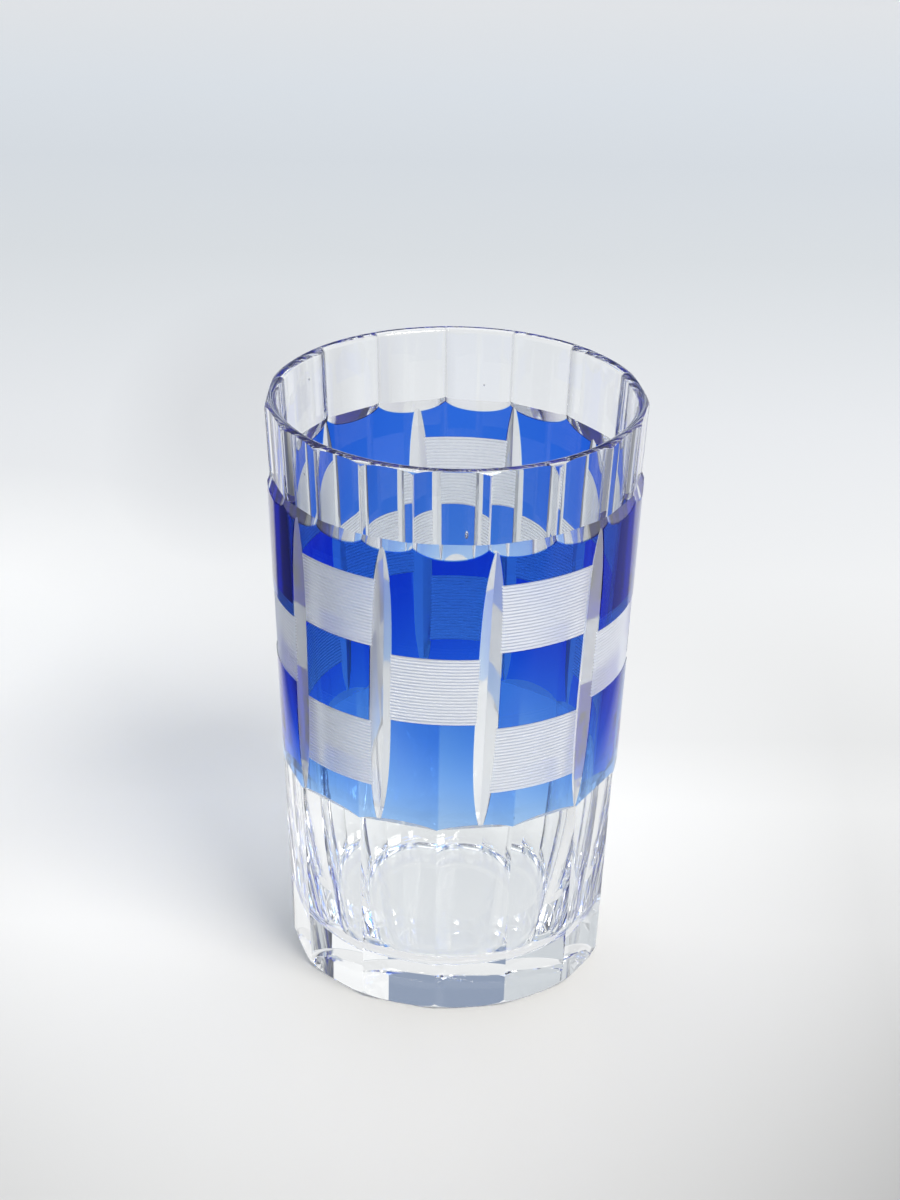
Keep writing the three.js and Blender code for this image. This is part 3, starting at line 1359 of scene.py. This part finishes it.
@dataclass
class Tumbler:
    """The visible pieces: the clear cup and the 25 islands of blue that are left on it."""

    glass: CutGlass
    finishes: Finishes
    edge: float = 12.0
    seam_gap: float = 0.005

    def island_name(self, part: bpy.types.Object) -> str:
        """Finds which island a loose part of the overlay is, from where it lies.

        Args:
            part: The loose part.

        Returns:
            Number of its panel and its place on it.
        """
        corners = np.array([corner.co for corner in part.data.vertices]) / MM
        x, y, z = corners.mean(axis=0)
        azimuth = math.degrees(math.atan2(x, -y))
        lenses = self.glass.lenses
        for panel in range(len(lenses.azimuths)):
            start, end = float(lenses.azimuth(panel, z)), float(lenses.azimuth(panel + 1, z))
            if (azimuth - start) % FULL_TURN < end - start:
                break
        places = ("lower", "upper") if panel % 2 == 0 else ("lower", "middle", "upper")
        below = sum(z > (low + high) / 2 for low, high in self.glass.bands.of_panel(panel))
        return f"{panel + 1:02d}_{places[below]}"

    def dress_island(self, island: bpy.types.Object) -> None:
        """Marks the faces that are fused to the cup, and gives the whole island its blue.

        Args:
            island: The island.
        """
        mesh = island.data
        seam = [i for i, finish in enumerate(mesh.materials) if finish == self.finishes.seam]
        fused = [float(face.material_index in seam) for face in mesh.polygons]
        mesh.attributes.new("seam", "FLOAT", "FACE").data.foreach_set("value", fused)
        mesh.polygons.foreach_set("material_index", [0] * len(mesh.polygons))
        mesh.materials.clear()
        mesh.materials.append(self.finishes.blue)
        polished(island, self.edge)

    def build(self) -> list[bpy.types.Object]:
        """Makes every piece, rides it on the one body and lets it stand for its CAD node.

        Returns:
            The pieces.
        """
        glass, ridges = self.glass, self.glass.facets.ridges
        whole = glass.cut(self.finishes)
        seat = glass.casing.build(glass.form, ridges, 0.0, self.finishes.seam)
        casing = glass.casing.build(glass.form, ridges, self.seam_gap, self.finishes.seam)
        cup = carved(whole, seat, Cut.AWAY, "cut_clear_cup")
        overlay = carved(whole, casing, Cut.WITHIN, "overlay")
        for tool in (whole, seat, casing):
            removed(tool)
        polished(cup, self.edge)
        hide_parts("clear_cup")
        pieces = [cup]
        for part in loose_parts(overlay):
            name = self.island_name(part)
            part.name = f"blue_overlay_{name}"
            self.dress_island(part)
            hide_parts(f"blue_panel_{name}")
            pieces.append(part)
        removed(overlay)
        for piece in pieces:
            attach(piece, "root")
        return pieces


# Studio


@dataclass(frozen=True)
class Camera:
    """The photograph's camera, fitted to the outline of the glass. Angles are in radians."""

    location: tuple[float, float, float] = (0.001325, -0.59976, 0.357845)
    pitch: float = 0.4481
    yaw: float = -0.0031
    roll: float = 0.0187
    lens: float = 109.44
    clip: tuple[float, float] = (0.01, 20.0)

    def build(self) -> None:
        """Stands the camera where the photograph was taken."""
        lens = bpy.data.cameras.new("camera")
        lens.lens = self.lens
        lens.clip_start, lens.clip_end = self.clip
        flat = math.cos(self.pitch)
        ahead = Vector(
            (math.sin(self.yaw) * flat, math.cos(self.yaw) * flat, -math.sin(self.pitch))
        )
        right = Vector((math.cos(self.yaw), -math.sin(self.yaw), 0))
        up = right.cross(ahead)
        turned = math.cos(self.roll) * right + math.sin(self.roll) * up
        upright = math.cos(self.roll) * up - math.sin(self.roll) * right
        axes = Matrix((turned, upright, -ahead)).transposed().to_4x4()
        stand = bpy.data.objects.new("camera", lens)
        stand.matrix_world = Matrix.Translation(self.location) @ axes
        bpy.context.scene.collection.objects.link(stand)
        bpy.context.scene.camera = stand


@dataclass(frozen=True)
class Softbox:
    """A square area lamp that looks at the glass."""

    name: str
    azimuth: float
    elevation: float
    distance: float
    size: float
    power: float
    colour: tuple[float, float, float] = (1.0, 1.0, 1.0)
    aim: tuple[float, float, float] = (0.0, 0.0, 0.05)

    def build(self) -> None:
        """Hangs the lamp."""
        lamp = bpy.data.lights.new(self.name, "AREA")
        lamp.shape, lamp.size = "SQUARE", self.size
        lamp.energy, lamp.color = self.power, self.colour
        way = towards(self.azimuth, self.elevation)
        hung = bpy.data.objects.new(self.name, lamp)
        hung.location = Vector(self.aim) + way * self.distance
        hung.rotation_euler = way.to_track_quat("Z", "Y").to_euler()
        bpy.context.scene.collection.objects.link(hung)


@dataclass(frozen=True)
class RoomPatch:
    """A soft round patch of the room, lighter or darker than the walls. Angles are in degrees."""

    azimuth: float
    elevation: float
    reach: float
    colour: str
    softness: float = 8.0


@dataclass(frozen=True)
class Studio:
    """Camera, table, lamps and surroundings of the photograph."""

    camera: Camera = Camera()
    table: PaleTable = PaleTable()
    table_size: float = 6.0
    table_gap: float = 0.00005
    lamps: tuple[Softbox, ...] = (
        Softbox(
            "key_softbox", azimuth=36, elevation=51, distance=0.9, size=0.42, power=5.65,
            colour=(1.0, 0.955, 0.87),
        ),
        Softbox("top_softbox", azimuth=180, elevation=75, distance=1.2, size=0.9, power=2.76),
    )
    wall_span: tuple[float, float] = (0.1, 0.8)
    wall_tones: tuple[str, str] = ("#cbd0d4", "#d6dade")
    patches: tuple[RoomPatch, ...] = (
        RoomPatch(azimuth=0, elevation=22, reach=40, colour="#4c4e55", softness=16),
        RoomPatch(azimuth=175, elevation=31, reach=16, colour="#8f9db5", softness=4),
        RoomPatch(azimuth=128, elevation=30, reach=20, colour="#ffffff"),
    )
    bounces: int = 32
    transmission_bounces: int = 28
    glossy_bounces: int = 16
    transparent_bounces: int = 64

    def lay_table(self) -> None:
        """Lays the table top."""
        half = self.table_size / 2
        sides = ((-half, -half), (half, -half), (half, half), (-half, half))
        mesh = bpy.data.meshes.new("table")
        mesh.from_pydata([(x, y, -self.table_gap) for x, y in sides], [], [(0, 1, 2, 3)])
        mesh.materials.append(self.table.build())
        linked("table", mesh)

    def surround(self) -> None:
        """Lights the room softly, a little more from above, with its lighter and darker patches."""
        world = bpy.data.worlds.new("studio")
        bpy.context.scene.world = world
        world.use_nodes = True
        tree = world.node_tree
        tree.nodes.clear()
        out = tree.nodes.new("ShaderNodeOutputWorld")
        way = node(tree, "ShaderNodeTexCoord").outputs["Generated"]
        parts = node(tree, "ShaderNodeSeparateXYZ", Vector=way)
        low, high = self.wall_span
        height = node(
            tree, "ShaderNodeMapRange", Value=parts.outputs["Z"], From_Min=low, From_Max=high
        )
        ramp = node(tree, "ShaderNodeValToRGB", Fac=height.outputs["Result"])
        for stop, tone in zip(ramp.color_ramp.elements, self.wall_tones):
            stop.color = linear(tone)
        colour = ramp.outputs["Color"]
        for patch in self.patches:
            centre = towards(patch.azimuth, patch.elevation)
            near = node(tree, "ShaderNodeVectorMath", operation="DOT_PRODUCT", _0=way, _1=centre)
            inside = node(
                tree,
                "ShaderNodeMapRange",
                Value=near.outputs["Value"],
                From_Min=math.cos(math.radians(patch.reach + patch.softness)),
                From_Max=math.cos(math.radians(patch.reach)),
            )
            mixed = node(
                tree, "ShaderNodeMix", data_type="RGBA", _0=inside.outputs["Result"], _6=colour,
                _7=linear(patch.colour),
            )
            colour = mixed.outputs[2]
        light = node(tree, "ShaderNodeBackground", Color=colour, Strength=1.0)
        tree.links.new(light.outputs[0], out.inputs["Surface"])

    def build(self) -> None:
        """Sets the studio up."""
        self.camera.build()
        self.lay_table()
        for lamp in self.lamps:
            lamp.build()
        self.surround()
        settings = bpy.context.scene
        settings.view_settings.view_transform = "Standard"
        settings.cycles.max_bounces = self.bounces
        settings.cycles.transmission_bounces = self.transmission_bounces
        settings.cycles.glossy_bounces = self.glossy_bounces
        settings.cycles.transparent_max_bounces = self.transparent_bounces


def main() -> None:
    """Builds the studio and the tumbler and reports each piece."""
    logging.basicConfig(level=logging.INFO, format="%(name)s: %(message)s")
    Studio().build()
    for piece in Tumbler(CutGlass(), Finishes.made()).build():
        LOG.info("%s: %d faces", piece.name, len(piece.data.polygons))


if __name__ == "__main__":
    main()
